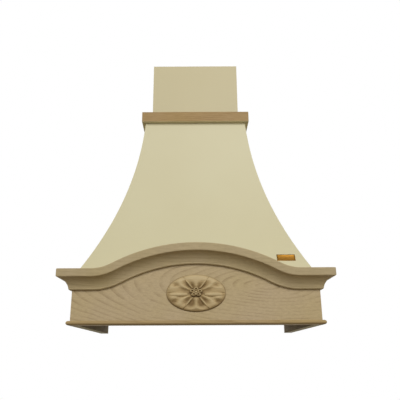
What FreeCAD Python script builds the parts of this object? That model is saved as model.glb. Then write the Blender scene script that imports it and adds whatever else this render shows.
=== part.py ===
import FreeCAD, Part
import Sketcher
import math
import os
from types import SimpleNamespace

# Wall hood with an arched wooden skirt, a flared sheet canopy and a sliding chimney cover.
# X runs to the right, +Y to the wall and +Z up. Pieces are drawn from the bottom rim upwards, with the
# wall at Y = 0, and are then hung so that the two wall screws lie on the origin's level.

SIZES = {
    # Wooden skirt
    "crown_width": 900,
    "crown_projection": 44,
    "board_front": 520,
    "board_thickness": 25,
    "shoulder_height": 178,
    "arch_rise": 85,
    "shoulder_flat": 67,
    "arch_foot_radius": 134,
    # Crown moulding profile
    "crown_height": 65.5,
    "fascia_height": 27.5,
    "fascia_round": 3.5,
    "cove_setback": 6,
    "cove_radius": 42,
    "cove_foot": 10,
    "foot_height": 5,
    "foot_bevel": 2.5,
    # Bead along the bottom edge
    "bead_height": 14,
    "bead_projection": 10.5,
    # Oval rosette
    "medallion_height": 102,
    "medallion_half_width": 98,
    "medallion_half_height": 61,
    "medallion_base": 5,
    "petal_count": 8,
    "petal_rise": 7,
    "boss_half_width": 22,
    "boss_half_height": 14,
    "boss_rise": 11,
    # Corner glue blocks
    "block_width": 30,
    "block_height": 80,
    # Painted canopy
    "canopy_edge_inset": 6,
    "canopy_top_height": 833,
    "canopy_front_gap": 0.5,
    "flare_radius": 1640,
    "sheet_gauge": 1.2,
    "foot_flange": 22,
    "neck_ledge": 25,
    "neck_gap": 3,
    "back_flange": 25,
    # Wooden collar
    "collar_height": 43,
    "collar_overhang": 14.5,
    "collar_clearance": 0.5,
    # Chimney cover and its wall bar
    "chimney_width": 360,
    "chimney_depth": 300,
    "chimney_foot_gap": 55,
    "chimney_top_height": 1124,
    "chimney_flange": 15,
    "bar_thickness": 2,
    "bar_height": 40,
    "bar_drop": 30,
    "bar_inset": 8,
    "bar_hole_spacing": 240,
    "bar_hole_radius": 3,
    # Wall rail
    "hang_height": 540,
    "rail_end_gap": 4,
    "rail_height": 50,
    "rail_thickness": 3,
    "wall_hole_spacing": 300,
    "wall_hole_radius": 4.5,
    # Tray in the mouth
    "tray_height": 45,
    "tray_gap": 0.5,
    "tray_lip": 25,
    "tray_back": 10,
    # Grease filters
    "filter_side_gap": 9,
    "filter_front_gap": 14,
    "filter_thickness": 9,
    "filter_gap": 40,
    "filter_back": 69,
    "filter_drop": 1,
    "filter_bar": 14,
    "filter_front_bar": 26,
    "aperture_gap": 0.5,
    "aperture_back_gap": 4,
    "mesh_thickness": 3,
    "mesh_columns": 8,
    "mesh_rows": 9,
    "mesh_web": 5,
    "pivot_inset": 4,
    "pivot_rise": 3.8,
    "pivot_radius": 2,
    "pivot_length": 5,
    "running_gap": 0.05,
    "eye_gap": 0.8,
    "eye_thickness": 3,
    "eye_depth": 14,
    "eye_height": 10,
    "latch_width": 40,
    "latch_depth": 18,
    "latch_thickness": 3,
    "latch_rise": 0.8,
    "latch_gap": 0.3,
    "latch_travel": 6,
    "latch_slot_depth": 24,
    "tab_width": 16,
    "tab_depth": 5,
    "tab_inset": 11,
    "tab_drop": 4,
    # Lamps
    "lamp_side_inset": 70,
    "lamp_margin": 2.25,
    "lamp_flange_radius": 38,
    "lamp_flange_thickness": 2.5,
    "lamp_barrel_radius": 30,
    "lamp_barrel_height": 27,
    "lamp_wall": 2,
    "lamp_window_radius": 24,
    "lens_thickness": 3,
    "lamp_module_height": 22,
    "fit_gap": 0.3,
    # Push-button unit
    "panel_width": 140,
    "panel_length": 30,
    "panel_thickness": 3,
    "button_pitch": 22,
    "button_width": 14,
    "button_length": 10,
    "button_drop": 3,
    "button_collar": 1,
    "button_collar_height": 2.5,
    "button_room": 7,
    "slot_width": 108,
    "slot_length": 14,
    "box_width": 160,
    "box_length": 60,
    "box_height": 36,
    "box_wall": 2,
    # Blower box and casing
    "plenum_side_gap": 66.5,
    "plenum_back": 50,
    "plenum_top_height": 300,
    "plenum_gauge": 1,
    "plenum_flange": 14,
    "scroll_depth": 209,
    "scroll_height": 165,
    "scroll_radius": 86,
    "scroll_step": 10,
    "scroll_half_width": 85,
    "scroll_wall": 2,
    "inlet_radius": 62,
    # Blower wheel and drive
    "wheel_radius": 75,
    "wheel_half_width": 70,
    "wheel_disc": 2,
    "wheel_ring_width": 4,
    "wheel_ring_lip": 2,
    "blade_count": 28,
    "blade_chord": 14,
    "blade_thickness": 1,
    "blade_radius": 13,
    "hub_radius": 12,
    "hub_left": 8,
    "hub_right": 18,
    "shaft_radius": 4,
    "shaft_inset": 3,
    "motor_radius": 42,
    "motor_length": 70,
    "bearing_radius": 8,
    "bearing_width": 6,
    "bearing_inset": 4,
    "spider_arms": 3,
    "spider_thickness": 3,
    "spider_disc_radius": 34,
    "spider_reach": 76,
    "spider_arm_width": 16,
    "capacitor_width": 46,
    "capacitor_depth": 24,
    "capacitor_height": 34,
    "capacitor_side": 150,
    "capacitor_level": 180,
    # Outlet with its non-return flaps
    "spigot_radius": 60,
    "spigot_wall": 2,
    "spigot_height": 60,
    "spigot_flange": 150,
    "spigot_flange_thickness": 1.5,
    "outlet_radius": 56,
    "seat_level": 22,
    "seat_thickness": 2,
    "seat_width": 5,
    "flap_thickness": 1.5,
    "flap_gap": 0.5,
    "flap_pin_radius": 2,
    "flap_pin_rise": 4,
    "knuckle_radius": 4,
    "knuckle_length": 16,
    "knuckle_gap": 0.5,
    "gland_side": 130,
    "gland_depth": 110,
    "gland_flange_radius": 14,
    "gland_flange_height": 6,
    "gland_neck_radius": 8,
    "gland_neck_length": 10,
    "gland_bore_radius": 4,
    # Screws
    "screw_radius": 2,
    "screw_hole_radius": 2.15,
    "screw_head_radius": 4,
    "screw_head_height": 2.5,
    "wood_screw_length": 20,
    "tray_screw_length": 16,
    "sheet_screw_length": 4,
    "pilot_depth": 24,
    "foot_screw_inset": 9,
    "rail_screw_rise": 12,
    "rail_screw_inset": 5,
    # How far cutting shapes run past what they cut
    "overrun": 2,
}
PETAL_INNER_SHARE = 0.20
PETAL_WIDE_SHARE = 0.66
PETAL_OUTER_SHARE = 0.95
PETAL_SPREAD_SHARE = 0.94
BOARD_SCREW_SHARES = (0.12, 0.48, 0.82)
FRONT_KNUCKLE_SHARES = (-2.5, 0.5)
REAR_KNUCKLE_SHARES = (-1.5, 1.5)

doc = FreeCAD.newDocument("hood")
sheet = doc.addObject("Spreadsheet::Sheet", "sizes")
for row, (alias, number) in enumerate(SIZES.items(), start=1):
    sheet.set(f"A{row}", alias)
    sheet.set(f"B{row}", str(number))
    sheet.setAlias(f"B{row}", alias)
doc.recompute()


class Size:
    """A number together with the sheet formula that it comes from."""

    def __init__(self, value, text):
        self.value = value
        self.text = text

    def __add__(self, other):
        other = as_size(other)
        return Size(self.value + other.value, f"({self.text} + {other.text})")

    def __radd__(self, other):
        return as_size(other) + self

    def __sub__(self, other):
        other = as_size(other)
        return Size(self.value - other.value, f"({self.text} - {other.text})")

    def __rsub__(self, other):
        return as_size(other) - self

    def __mul__(self, other):
        other = as_size(other)
        return Size(self.value * other.value, f"({self.text} * {other.text})")

    def __rmul__(self, other):
        return as_size(other) * self

    def __truediv__(self, other):
        other = as_size(other)
        return Size(self.value / other.value, f"({self.text} / {other.text})")

    def __neg__(self):
        return Size(-self.value, f"(-1 * {self.text})")


def as_size(item):
    return item if isinstance(item, Size) else Size(item, repr(item))


def root(item):
    return Size(math.sqrt(item.value), f"sqrt({item.text})")


size = SimpleNamespace(**{alias: Size(number, f"sizes.{alias}") for alias, number in SIZES.items()})
nodes = []


def bind(thing, prop, item):
    thing.setExpression(prop, as_size(item).text)


def hang(thing, label, x=0, y=0, z=0):
    """Names a finished piece and hangs it at its place below or above the wall screws."""
    thing.Label = label
    bind(thing, "Placement.Base.x", x)
    bind(thing, "Placement.Base.y", y)
    bind(thing, "Placement.Base.z", z - size.hang_height)
    nodes.append(thing)
    return thing


# Outlines

def point(corner):
    return FreeCAD.Vector(as_size(corner[0]).value, as_size(corner[1]).value, 0)


def arc_between(start, end, radius, turn):
    """An arc from start to end with its centre to the left (turn 1) or right (turn -1) of the way."""
    way = end - start
    reach = math.sqrt(max(radius * radius - way.Length * way.Length / 4, 0))
    side = FreeCAD.Vector(-way.y, way.x, 0).normalize()
    centre = (start + end) / 2 + side * reach * turn
    first, last = (start, end) if turn > 0 else (end, start)
    angles = [math.atan2(spot.y - centre.y, spot.x - centre.x) for spot in (first, last)]
    circle = Part.Circle(centre, FreeCAD.Vector(0, 0, 1), radius)
    return Part.ArcOfCircle(circle, angles[0], angles[1])


def draw_corners(sketch, corners, closed=True):
    """Draws corners (across, up) joined by lines, or by an arc where (radius, turn) follows them."""
    edges = []
    last = len(corners) if closed else len(corners) - 1
    for index in range(last):
        corner = corners[index]
        following = corners[(index + 1) % len(corners)]
        start, end = point(corner), point(following)
        if len(corner) == 2:
            edges.append((sketch.addGeometry(Part.LineSegment(start, end), False), 1, 2))
            continue
        radius, turn = corner[2:]
        curve = sketch.addGeometry(arc_between(start, end, radius.value, turn), False)
        edges.append((curve, 1, 2) if turn > 0 else (curve, 2, 1))
        mark = sketch.addConstraint(Sketcher.Constraint("Radius", curve, radius.value))
        bind(sketch, f"Constraints[{mark}]", radius)
    for index, corner in enumerate(corners):
        at_end = index == last
        curve, head, tail = edges[index - 1] if at_end else edges[index]
        spot = tail if at_end else head
        for kind, item in (("DistanceX", corner[0]), ("DistanceY", corner[1])):
            item = as_size(item)
            mark = sketch.addConstraint(Sketcher.Constraint(kind, -1, 1, curve, spot, item.value))
            bind(sketch, f"Constraints[{mark}]", item)
        if at_end or (index == 0 and not closed):
            continue
        before, _, before_tail = edges[index - 1]
        sketch.addConstraint(Sketcher.Constraint("Coincident", before, before_tail, curve, head))


def draw_circle(sketch, across, up, radius):
    across, up = as_size(across), as_size(up)
    round_line = Part.Circle(point((across, up)), FreeCAD.Vector(0, 0, 1), radius.value)
    curve = sketch.addGeometry(round_line, False)
    for kind, item in (("DistanceX", across), ("DistanceY", up)):
        mark = sketch.addConstraint(Sketcher.Constraint(kind, -1, 1, curve, 3, item.value))
        bind(sketch, f"Constraints[{mark}]", item)
    mark = sketch.addConstraint(Sketcher.Constraint("Radius", curve, radius.value))
    bind(sketch, f"Constraints[{mark}]", radius)


def draw(sketch, loops):
    for loop in loops:
        if loop[0] == "circle":
            draw_circle(sketch, *loop[1:])
        else:
            draw_corners(sketch, loop)


def rectangle(left, low, right, high):
    return [(left, low), (right, low), (right, high), (left, high)]


def circle(across, up, radius):
    return ("circle", across, up, radius)


# Bodies made of pads and pockets

def new_body(name):
    return doc.addObject("PartDesign::Body", name)


def origin_item(body, role):
    return [item for item in body.Origin.OriginFeatures if item.Role == role][0]


def sketch_in(body, plane, level):
    sketch = body.newObject("Sketcher::SketchObject", f"{body.Name}_outline")
    sketch.AttachmentSupport = [(origin_item(body, f"{plane}_Plane"), "")]
    sketch.MapMode = "FlatFace"
    bind(sketch, "AttachmentOffset.Base.z", level)
    return sketch


def pad(body, plane, level, loops, length, reverse=False, symmetric=False):
    sketch = sketch_in(body, plane, level)
    draw(sketch, loops)
    feature = body.newObject("PartDesign::Pad", f"{body.Name}_pad")
    feature.Profile = sketch
    feature.Reversed = reverse
    if symmetric:
        feature.SideType = "Symmetric"
    bind(feature, "Length", length)
    return feature


def pocket(body, plane, level, loops, depth=None, reverse=False):
    """Cuts to a depth against the plane's normal, or right through both ways when no depth is given."""
    sketch = sketch_in(body, plane, level)
    draw(sketch, loops)
    feature = body.newObject("PartDesign::Pocket", f"{body.Name}_pocket")
    feature.Profile = sketch
    if depth is None:
        feature.SideType = "Symmetric"
        feature.Type = "ThroughAll"
    else:
        feature.Reversed = reverse
        bind(feature, "Length", depth)
    return feature


# Solids and their sums

def box(x_low, y_low, z_low, x_high, y_high, z_high):
    block = doc.addObject("Part::Box", "block")
    for prop, low, high in (("Length", x_low, x_high), ("Width", y_low, y_high), ("Height", z_low, z_high)):
        bind(block, prop, as_size(high) - low)
    for axis, low in (("x", x_low), ("y", y_low), ("z", z_low)):
        bind(block, f"Placement.Base.{axis}", low)
    return block


def rod(place, direction, radius, length):
    bar = doc.addObject("Part::Cylinder", "rod")
    bar.Placement.Rotation = FreeCAD.Rotation(FreeCAD.Vector(0, 0, 1), FreeCAD.Vector(*direction))
    bind(bar, "Radius", radius)
    bind(bar, "Height", length)
    for axis, item in zip("xyz", place):
        bind(bar, f"Placement.Base.{axis}", item)
    return bar


def fused(items):
    whole = doc.addObject("Part::MultiFuse", "sum")
    whole.Shapes = items
    return whole


def cut(base, tool):
    rest = doc.addObject("Part::Cut", "rest")
    rest.Base = base
    rest.Tool = tool
    return rest


def group(items):
    whole = doc.addObject("Part::Compound", "group")
    whole.Links = items
    return whole


def screw(place, direction, length):
    """One pan-head screw: the place is under its head and the shank runs along the direction."""
    back = tuple(-item for item in direction)
    shank = rod(place, direction, size.screw_radius, length)
    head = rod(place, back, size.screw_head_radius, size.screw_head_height)
    return fused([shank, head])


DOWN = (0, 0, -1)
UP = (0, 0, 1)
LEFT = (-1, 0, 0)
RIGHT = (1, 0, 0)
TO_WALL = (0, 1, 0)
SIDES = (("left", -1), ("right", 1))

# Levels and faces that several pieces share
board_half = size.crown_width / 2 - size.crown_projection
board_inner = board_half - size.board_thickness
board_back = size.board_front - size.board_thickness
gauge = size.sheet_gauge
canopy_foot_half = board_half - size.canopy_edge_inset
chimney_half = size.chimney_width / 2
chimney_foot = size.hang_height + size.rail_height / 2 + size.chimney_foot_gap
canopy_top_half = chimney_half + size.neck_ledge
canopy_top_depth = size.chimney_depth + size.neck_ledge
tray_top = size.tray_height + gauge
tray_half = board_inner - size.tray_gap
tray_front = board_back - size.tray_gap
strip_depth = 2 * (size.lamp_flange_radius + size.lamp_margin)
fixture_depth = tray_front - strip_depth / 2
plenum_half = tray_half - size.plenum_side_gap - size.plenum_flange
plenum_front = tray_front - strip_depth - size.plenum_flange
lamp_side = plenum_half - size.lamp_side_inset
filter_inner = size.filter_gap / 2
filter_outer = plenum_half - size.plenum_gauge - size.filter_side_gap
filter_width = filter_outer - filter_inner
filter_front = plenum_front - size.plenum_gauge - size.filter_front_gap
filter_depth = filter_front - size.filter_back
foot_seam = canopy_foot_half - size.foot_screw_inset
screw_rows = [-size.board_front * share for share in BOARD_SCREW_SHARES]
tray_screw_level = tray_top + size.tray_lip / 2


# Arch of the skirt: a crown arc between two foot arcs, tangent to each other and to the flat shoulders

def arch_line(end):
    span, rise, foot = board_half - size.shoulder_flat, size.arch_rise, size.arch_foot_radius
    both = (span * span + rise * rise) / (2 * rise)
    crown = both - foot
    across = span * crown / both
    up = size.shoulder_height + rise * foot / both
    level = size.shoulder_height
    return [(-end, level), (-span, level, foot, 1), (-across, up, crown, -1), (across, up, foot, 1),
            (span, level), (end, level)]


# Front board under the arch, its two ends cut to a mitre
body = new_body("front_board")
arch = arch_line(board_half)
pad(body, "XZ", board_back, [[(-board_half, 0)] + arch + [(board_half, 0)]], size.board_thickness)
for _, side in SIDES:
    tip = side * (board_half + size.overrun)
    heel = side * (board_inner - size.overrun)
    front = -size.board_front - size.overrun
    rear = -board_back + size.overrun
    pocket(body, "XY", 0, [[(tip, front), (tip, rear), (heel, rear)]])
hang(body, "front_board")

# Side boards from the mitre to the wall, with screw holes for the canopy above and the tray inside
for name, side in SIDES:
    body = new_body(f"{name}_side_board")
    plan = [(side * board_half, 0), (side * board_half, -size.board_front), (side * board_inner, -board_back),
            (side * board_inner, 0)]
    pad(body, "XY", 0, [plan], size.shoulder_height)
    pilots = [circle(side * foot_seam, row, size.screw_hole_radius) for row in screw_rows]
    pocket(body, "XY", size.shoulder_height, pilots, size.pilot_depth)
    pilots = [circle(row, tray_screw_level, size.screw_hole_radius) for row in screw_rows]
    pocket(body, "YZ", side * board_inner, pilots, size.tray_screw_length, reverse=side > 0)
    hang(body, f"{name}_side_board")


# Crown moulding: fascia with rounded edges, a step, a cove and a small foot

def crown_profile(face, outward):
    top = size.shoulder_height
    ease = size.fascia_round
    drop = size.fascia_height
    cove_out = size.crown_projection - size.cove_setback
    cove_end = size.crown_height - size.foot_height
    turn = 1 if outward > 0 else -1
    steps = [(0, 0), (size.crown_projection - ease, 0, ease, -turn), (size.crown_projection, ease),
             (size.crown_projection, drop - ease, ease, -turn), (size.crown_projection - ease, drop),
             (cove_out, drop, size.cove_radius, turn), (size.cove_foot, cove_end),
             (size.cove_foot, size.crown_height - size.foot_bevel),
             (size.cove_foot - size.foot_bevel, size.crown_height), (0, size.crown_height)]
    return [(face + outward * step[0], top - step[1]) + tuple(step[2:]) for step in steps]


def mitre(reach, side, beyond):
    """Plan triangle beyond a 45 degree mitre at a front corner, on its side or its front."""
    corner = (side * board_half, -size.board_front)
    far = (side * (board_half + reach), -size.board_front - reach)
    third = (side * (board_half + reach), -size.board_front) if beyond == "side" else \
        (side * board_half, -size.board_front - reach)
    return [corner, far, third]


mitre_reach = size.crown_projection + size.overrun
body = new_body("front_crown")
profile = sketch_in(body, "YZ", -size.crown_width / 2)
draw(profile, [crown_profile(-size.board_front, -1)])
spine = sketch_in(body, "XZ", size.board_front)
draw_corners(spine, arch_line(size.crown_width / 2), closed=False)
sweep = body.newObject("PartDesign::AdditivePipe", "crown_sweep")
sweep.Profile = profile
sweep.Spine = (spine, [])
for _, side in SIDES:
    pocket(body, "XY", 0, [mitre(mitre_reach, side, "side")])
hang(body, "front_crown")

for name, side in SIDES:
    body = new_body(f"{name}_crown")
    pad(body, "XZ", 0, [crown_profile(side * board_half, side)], size.board_front + size.crown_projection)
    pocket(body, "XY", 0, [mitre(mitre_reach, side, "front")])
    hang(body, f"{name}_crown")


# Rounded bead along the bottom edge, mitred like the crown

def bead_profile(face, outward):
    flat = size.bead_projection - size.bead_height / 2
    turn = 1 if outward > 0 else -1
    steps = [(0, 0), (flat, 0, size.bead_height / 2, turn), (size.bead_projection, size.bead_height / 2,
             size.bead_height / 2, turn), (flat, size.bead_height), (0, size.bead_height)]
    return [(face + outward * step[0], step[1]) + tuple(step[2:]) for step in steps]


bead_reach = size.bead_projection + size.overrun
body = new_body("front_bead")
bead_length = 2 * (board_half + size.bead_projection)
pad(body, "YZ", 0, [bead_profile(-size.board_front, -1)], bead_length, symmetric=True)
for _, side in SIDES:
    pocket(body, "XY", 0, [mitre(bead_reach, side, "side")])
hang(body, "front_bead")
for name, side in SIDES:
    body = new_body(f"{name}_bead")
    pad(body, "XZ", 0, [bead_profile(side * board_half, side)], size.board_front + size.bead_projection)
    pocket(body, "XY", 0, [mitre(bead_reach, side, "front")])
    hang(body, f"{name}_bead")


# Oval rosette: an oval plate with ridged petals round a domed boss
oval = doc.addObject("Part::Ellipse", "oval")
bind(oval, "MajorRadius", size.medallion_half_width)
bind(oval, "MinorRadius", size.medallion_half_height)
plate = doc.addObject("Part::Extrusion", "oval_plate")
plate.Base = oval
plate.DirMode = "Custom"
plate.Dir = FreeCAD.Vector(0, 0, 1)
plate.Solid = True
bind(plate, "LengthFwd", size.medallion_base)


def petal(turn, half_turn):
    """A ridged petal: a kite on the oval plate that rises to a peak over its widest place."""
    wide, tall = size.medallion_half_width.value, size.medallion_half_height.value
    floor, peak = size.medallion_base.value / 2, size.medallion_base.value + size.petal_rise.value

    def spot(share, angle, level):
        return FreeCAD.Vector(wide * share * math.cos(angle), tall * share * math.sin(angle), level)

    foot = [spot(PETAL_INNER_SHARE, turn, floor), spot(PETAL_WIDE_SHARE, turn - half_turn, floor),
            spot(PETAL_OUTER_SHARE, turn, floor), spot(PETAL_WIDE_SHARE, turn + half_turn, floor)]
    top = spot(PETAL_WIDE_SHARE, turn, peak)
    faces = [Part.Face(Part.makePolygon(foot + foot[:1]))]
    for index in range(4):
        start, end = foot[index], foot[(index + 1) % 4]
        faces.append(Part.Face(Part.makePolygon([start, end, top, start])))
    leaf = doc.addObject("Part::Feature", "petal")
    leaf.Shape = Part.Solid(Part.Shell(faces))
    return leaf


pieces = [plate]
petals = int(size.petal_count.value)
for index in range(petals):
    pieces.append(petal(2 * math.pi * index / petals, math.pi / petals * PETAL_SPREAD_SHARE))
boss = doc.addObject("Part::Ellipsoid", "boss")
bind(boss, "Radius1", size.boss_rise)
bind(boss, "Radius2", size.boss_half_width)
bind(boss, "Radius3", size.boss_half_height)
boss.Angle1 = 0
bind(boss, "Placement.Base.z", size.medallion_base / 2)
pieces.append(boss)
rosette = fused(pieces)
rosette.Placement.Rotation = FreeCAD.Rotation(FreeCAD.Vector(1, 0, 0), 90)
hang(rosette, "medallion", y=-size.board_front, z=size.medallion_height)

# Glue blocks in the front corners, level with the side boards' top edges
blocks = []
for _, side in SIDES:
    outer, inner = side * board_inner, side * (board_inner - size.block_width)
    low, high = (inner, outer) if side > 0 else (outer, inner)
    blocks.append(box(low, -board_back, size.shoulder_height - size.block_height,
                      high, -board_back + size.block_width, size.shoulder_height))
hang(group(blocks), "corner_blocks")

# Canopy: both outlines are arcs about fixed centres, so that the sheet keeps one thickness
canopy_foot = size.shoulder_height
canopy_top = size.canopy_top_height
canopy_back = size.rail_thickness
canopy_front = board_back - size.canopy_front_gap


def flare_centre(foot, top):
    """Centre of the arc that joins the foot's and the top's distance from the middle or the wall."""
    lean = foot - top
    rise = canopy_top - canopy_foot
    chord = root(lean * lean + rise * rise)
    reach = root(size.flare_radius * size.flare_radius - chord * chord / 4)
    return (foot + top) / 2 + reach * rise / chord, (canopy_top + canopy_foot) / 2 + reach * lean / chord


side_centre = flare_centre(canopy_foot_half, canopy_top_half)
front_centre = flare_centre(canopy_front, canopy_top_depth)


def flare_at(centre, inset, level):
    radius = size.flare_radius + inset
    fall = centre[1] - level
    return centre[0] - root(radius * radius - fall * fall)


def extruded(plane_turn, corners, forward, backward):
    sketch = doc.addObject("Sketcher::SketchObject", "canopy_outline")
    sketch.Placement.Rotation = plane_turn
    draw_corners(sketch, corners)
    block = doc.addObject("Part::Extrusion", "canopy_block")
    block.Base = sketch
    block.DirMode = "Normal"
    block.Solid = True
    bind(block, "LengthFwd", forward)
    bind(block, "LengthRev", backward)
    return block


TO_FRONT = FreeCAD.Rotation(FreeCAD.Vector(1, 0, 0), 90)
TO_RIGHT = FreeCAD.Rotation(FreeCAD.Vector(1, 1, 1), 120)


def front_outline(inset, low, high):
    radius = size.flare_radius + inset
    foot, top = flare_at(side_centre, inset, low), flare_at(side_centre, inset, high)
    return [(-foot, low), (foot, low, radius, -1), (top, high), (-top, high, radius, -1)]


def flared_block(inset, low, high, rear):
    radius = size.flare_radius + inset
    foot, top = flare_at(front_centre, inset, low), flare_at(front_centre, inset, high)
    depth = extruded(TO_FRONT, front_outline(inset, low, high), size.board_front, 0)
    section = [(-rear, low), (-rear, high), (-top, high, radius, -1), (-foot, low)]
    width = extruded(TO_RIGHT, section, canopy_foot_half, canopy_foot_half)
    both = doc.addObject("Part::MultiCommon", "flared_block")
    both.Shapes = [depth, width]
    return both


outside = flared_block(as_size(0), canopy_foot, canopy_top, canopy_back)
inside = flared_block(gauge, canopy_foot + gauge, canopy_top - gauge, canopy_back + gauge)
mouth_half = canopy_foot_half - size.foot_flange
neck_half = chimney_half + size.neck_gap
mouth = box(-mouth_half, -canopy_front + size.foot_flange, canopy_foot - size.overrun,
            mouth_half, 0, canopy_foot + gauge + size.overrun)
neck = box(-neck_half, -size.chimney_depth - size.neck_gap, chimney_foot,
           neck_half, 0, canopy_top + size.overrun)
back_inset = gauge + size.back_flange
back = extruded(TO_FRONT, front_outline(back_inset, canopy_foot, canopy_top),
                canopy_back + gauge + size.overrun, 0)

# Places of the screws through the canopy: into the side boards, up into the collar, and into the rail
foot_places = []
collar_places = []
rail_places = []
collar_outer = canopy_top_half + size.collar_overhang
collar_inner = chimney_half + size.collar_clearance
collar_front = canopy_top_depth + size.collar_overhang
collar_inner_front = size.chimney_depth + size.collar_clearance
neck_seam = (canopy_top_half + neck_half) / 2
front_seam = canopy_top_depth - canopy_top_half + neck_seam
rail_half = flare_at(side_centre, gauge, size.hang_height + size.rail_height / 2) - size.rail_end_gap
rail_seam = rail_half - size.rail_screw_inset
for _, side in SIDES:
    foot_places += [(side * foot_seam, row, canopy_foot + gauge) for row in screw_rows]
    collar_places += [(side * neck_seam, -size.chimney_depth * share, canopy_top - gauge)
                      for share in BOARD_SCREW_SHARES[1:]]
    collar_places.append((side * neck_seam / 2, -front_seam, canopy_top - gauge))
    rail_places += [(side * rail_seam, -canopy_back - gauge, size.hang_height + rise)
                    for rise in (size.rail_screw_rise, -size.rail_screw_rise)]
tools = [inside, mouth, neck, back]
for places, direction in ((foot_places, DOWN), (collar_places, UP), (rail_places, TO_WALL)):
    for place in places:
        start = tuple(item - size.overrun * axis for item, axis in zip(place, direction))
        tools.append(rod(start, direction, size.screw_hole_radius, gauge + 2 * size.overrun))
hang(cut(outside, fused(tools)), "canopy_shell")
hang(group([screw(place, DOWN, size.wood_screw_length) for place in foot_places]), "canopy_screws")
hang(group([screw(place, UP, size.wood_screw_length) for place in collar_places]), "collar_screws")
hang(group([screw(place, TO_WALL, gauge + size.rail_thickness) for place in rail_places]), "rail_screws")

# Wooden collar: three rails on the canopy's neck flange, mitred in front, that guide the chimney cover
body = new_body("front_collar")
plan = [(-collar_outer, -collar_front), (collar_outer, -collar_front), (collar_inner, -collar_inner_front),
        (-collar_inner, -collar_inner_front)]
pad(body, "XY", canopy_top, [plan], size.collar_height)
pilots = [circle(side * neck_seam / 2, -front_seam, size.screw_hole_radius) for _, side in SIDES]
pocket(body, "XY", canopy_top, pilots, size.pilot_depth, reverse=True)
hang(body, "front_collar")
for name, side in SIDES:
    body = new_body(f"{name}_collar")
    plan = [(side * collar_outer, 0), (side * collar_outer, -collar_front),
            (side * collar_inner, -collar_inner_front), (side * collar_inner, 0)]
    pad(body, "XY", canopy_top, [plan], size.collar_height)
    pilots = [circle(side * neck_seam, -size.chimney_depth * share, size.screw_hole_radius)
              for share in BOARD_SCREW_SHARES[1:]]
    pocket(body, "XY", canopy_top, pilots, size.pilot_depth, reverse=True)
    hang(body, f"{name}_collar")

# Rail that hangs the hood on two wall screws
body = new_body("wall_rail")
low, high = size.hang_height - size.rail_height / 2, size.hang_height + size.rail_height / 2
pad(body, "XZ", 0, [rectangle(-rail_half, low, rail_half, high)], size.rail_thickness)
holes = [circle(side * size.wall_hole_spacing / 2, size.hang_height, size.wall_hole_radius)
         for _, side in SIDES]
holes += [circle(place[0], place[2], size.screw_hole_radius) for place in rail_places]
pocket(body, "XZ", 0, holes)
hang(body, "wall_rail")

# Chimney cover: a box open above, below and at the wall, with flanges beside the wall
body = new_body("chimney_cover")
length = size.chimney_top_height - chimney_foot
plan = rectangle(-chimney_half, -size.chimney_depth, chimney_half, -size.bar_thickness)
pad(body, "XY", chimney_foot, [plan], length)
room = rectangle(-chimney_half + gauge, -size.chimney_depth + gauge, chimney_half - gauge,
                 -size.bar_thickness - gauge)
pocket(body, "XY", chimney_foot, [room])
gap_half = chimney_half - gauge - size.chimney_flange
gap = rectangle(-gap_half, -size.bar_thickness - gauge - size.overrun, gap_half, 0)
pocket(body, "XY", chimney_foot, [gap])
hang(body, "chimney_cover")

# Bar behind the chimney's top that holds it to the wall
body = new_body("chimney_bracket")
bar_half = chimney_half - size.bar_inset
high = size.chimney_top_height - size.bar_drop
pad(body, "XZ", 0, [rectangle(-bar_half, high - size.bar_height, bar_half, high)], size.bar_thickness)
holes = [circle(side * size.bar_hole_spacing / 2, high - size.bar_height / 2, size.bar_hole_radius)
         for _, side in SIDES]
pocket(body, "XZ", 0, holes)
hang(body, "chimney_bracket")

# Tray: a lipped sheet with two filter apertures, two lamp holes and a slot for the buttons
filter_low = size.tray_height - size.filter_drop
filter_high = filter_low + size.filter_thickness
pivot_depth = size.filter_back + size.pivot_inset
pivot_level = tray_top + size.pivot_rise
body = new_body("tray")
plate = rectangle(-tray_half, -tray_front, tray_half, -size.tray_back)
pad(body, "XY", size.tray_height, [plate], gauge)
inside = rectangle(-tray_half + gauge, -tray_front + gauge, tray_half - gauge, -size.tray_back - gauge)
pad(body, "XY", size.tray_height, [plate, inside], gauge + size.tray_lip)
openings = []
plenum_places = []
plenum_seam = plenum_half + size.plenum_flange / 2
for _, side in SIDES:
    openings.append(rectangle(side * (filter_inner - size.aperture_gap), -filter_front - size.aperture_gap,
                              side * (filter_outer + size.aperture_gap),
                              -size.filter_back + size.aperture_back_gap))
    openings.append(circle(side * lamp_side, -fixture_depth,
                           size.lamp_barrel_radius + size.fit_gap))
    for share in BOARD_SCREW_SHARES:
        row = -size.plenum_back - (plenum_front - size.plenum_back) * share
        plenum_places.append((side * plenum_seam, row, tray_top + size.plenum_gauge))
        openings.append(circle(side * plenum_seam, row, size.screw_hole_radius))
openings.append(rectangle(-size.slot_width / 2, -fixture_depth - size.slot_length / 2,
                          size.slot_width / 2, -fixture_depth + size.slot_length / 2))
pocket(body, "XY", size.tray_height, openings)
pocket(body, "YZ", 0, [circle(row, tray_screw_level, size.screw_hole_radius) for row in screw_rows])
hang(body, "tray")
tray_screws = []
for _, side in SIDES:
    for row in screw_rows:
        place = (side * (tray_half - gauge), row, tray_screw_level)
        tray_screws.append(screw(place, RIGHT if side > 0 else LEFT, size.tray_screw_length))
hang(group(tray_screws), "tray_screws")

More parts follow.
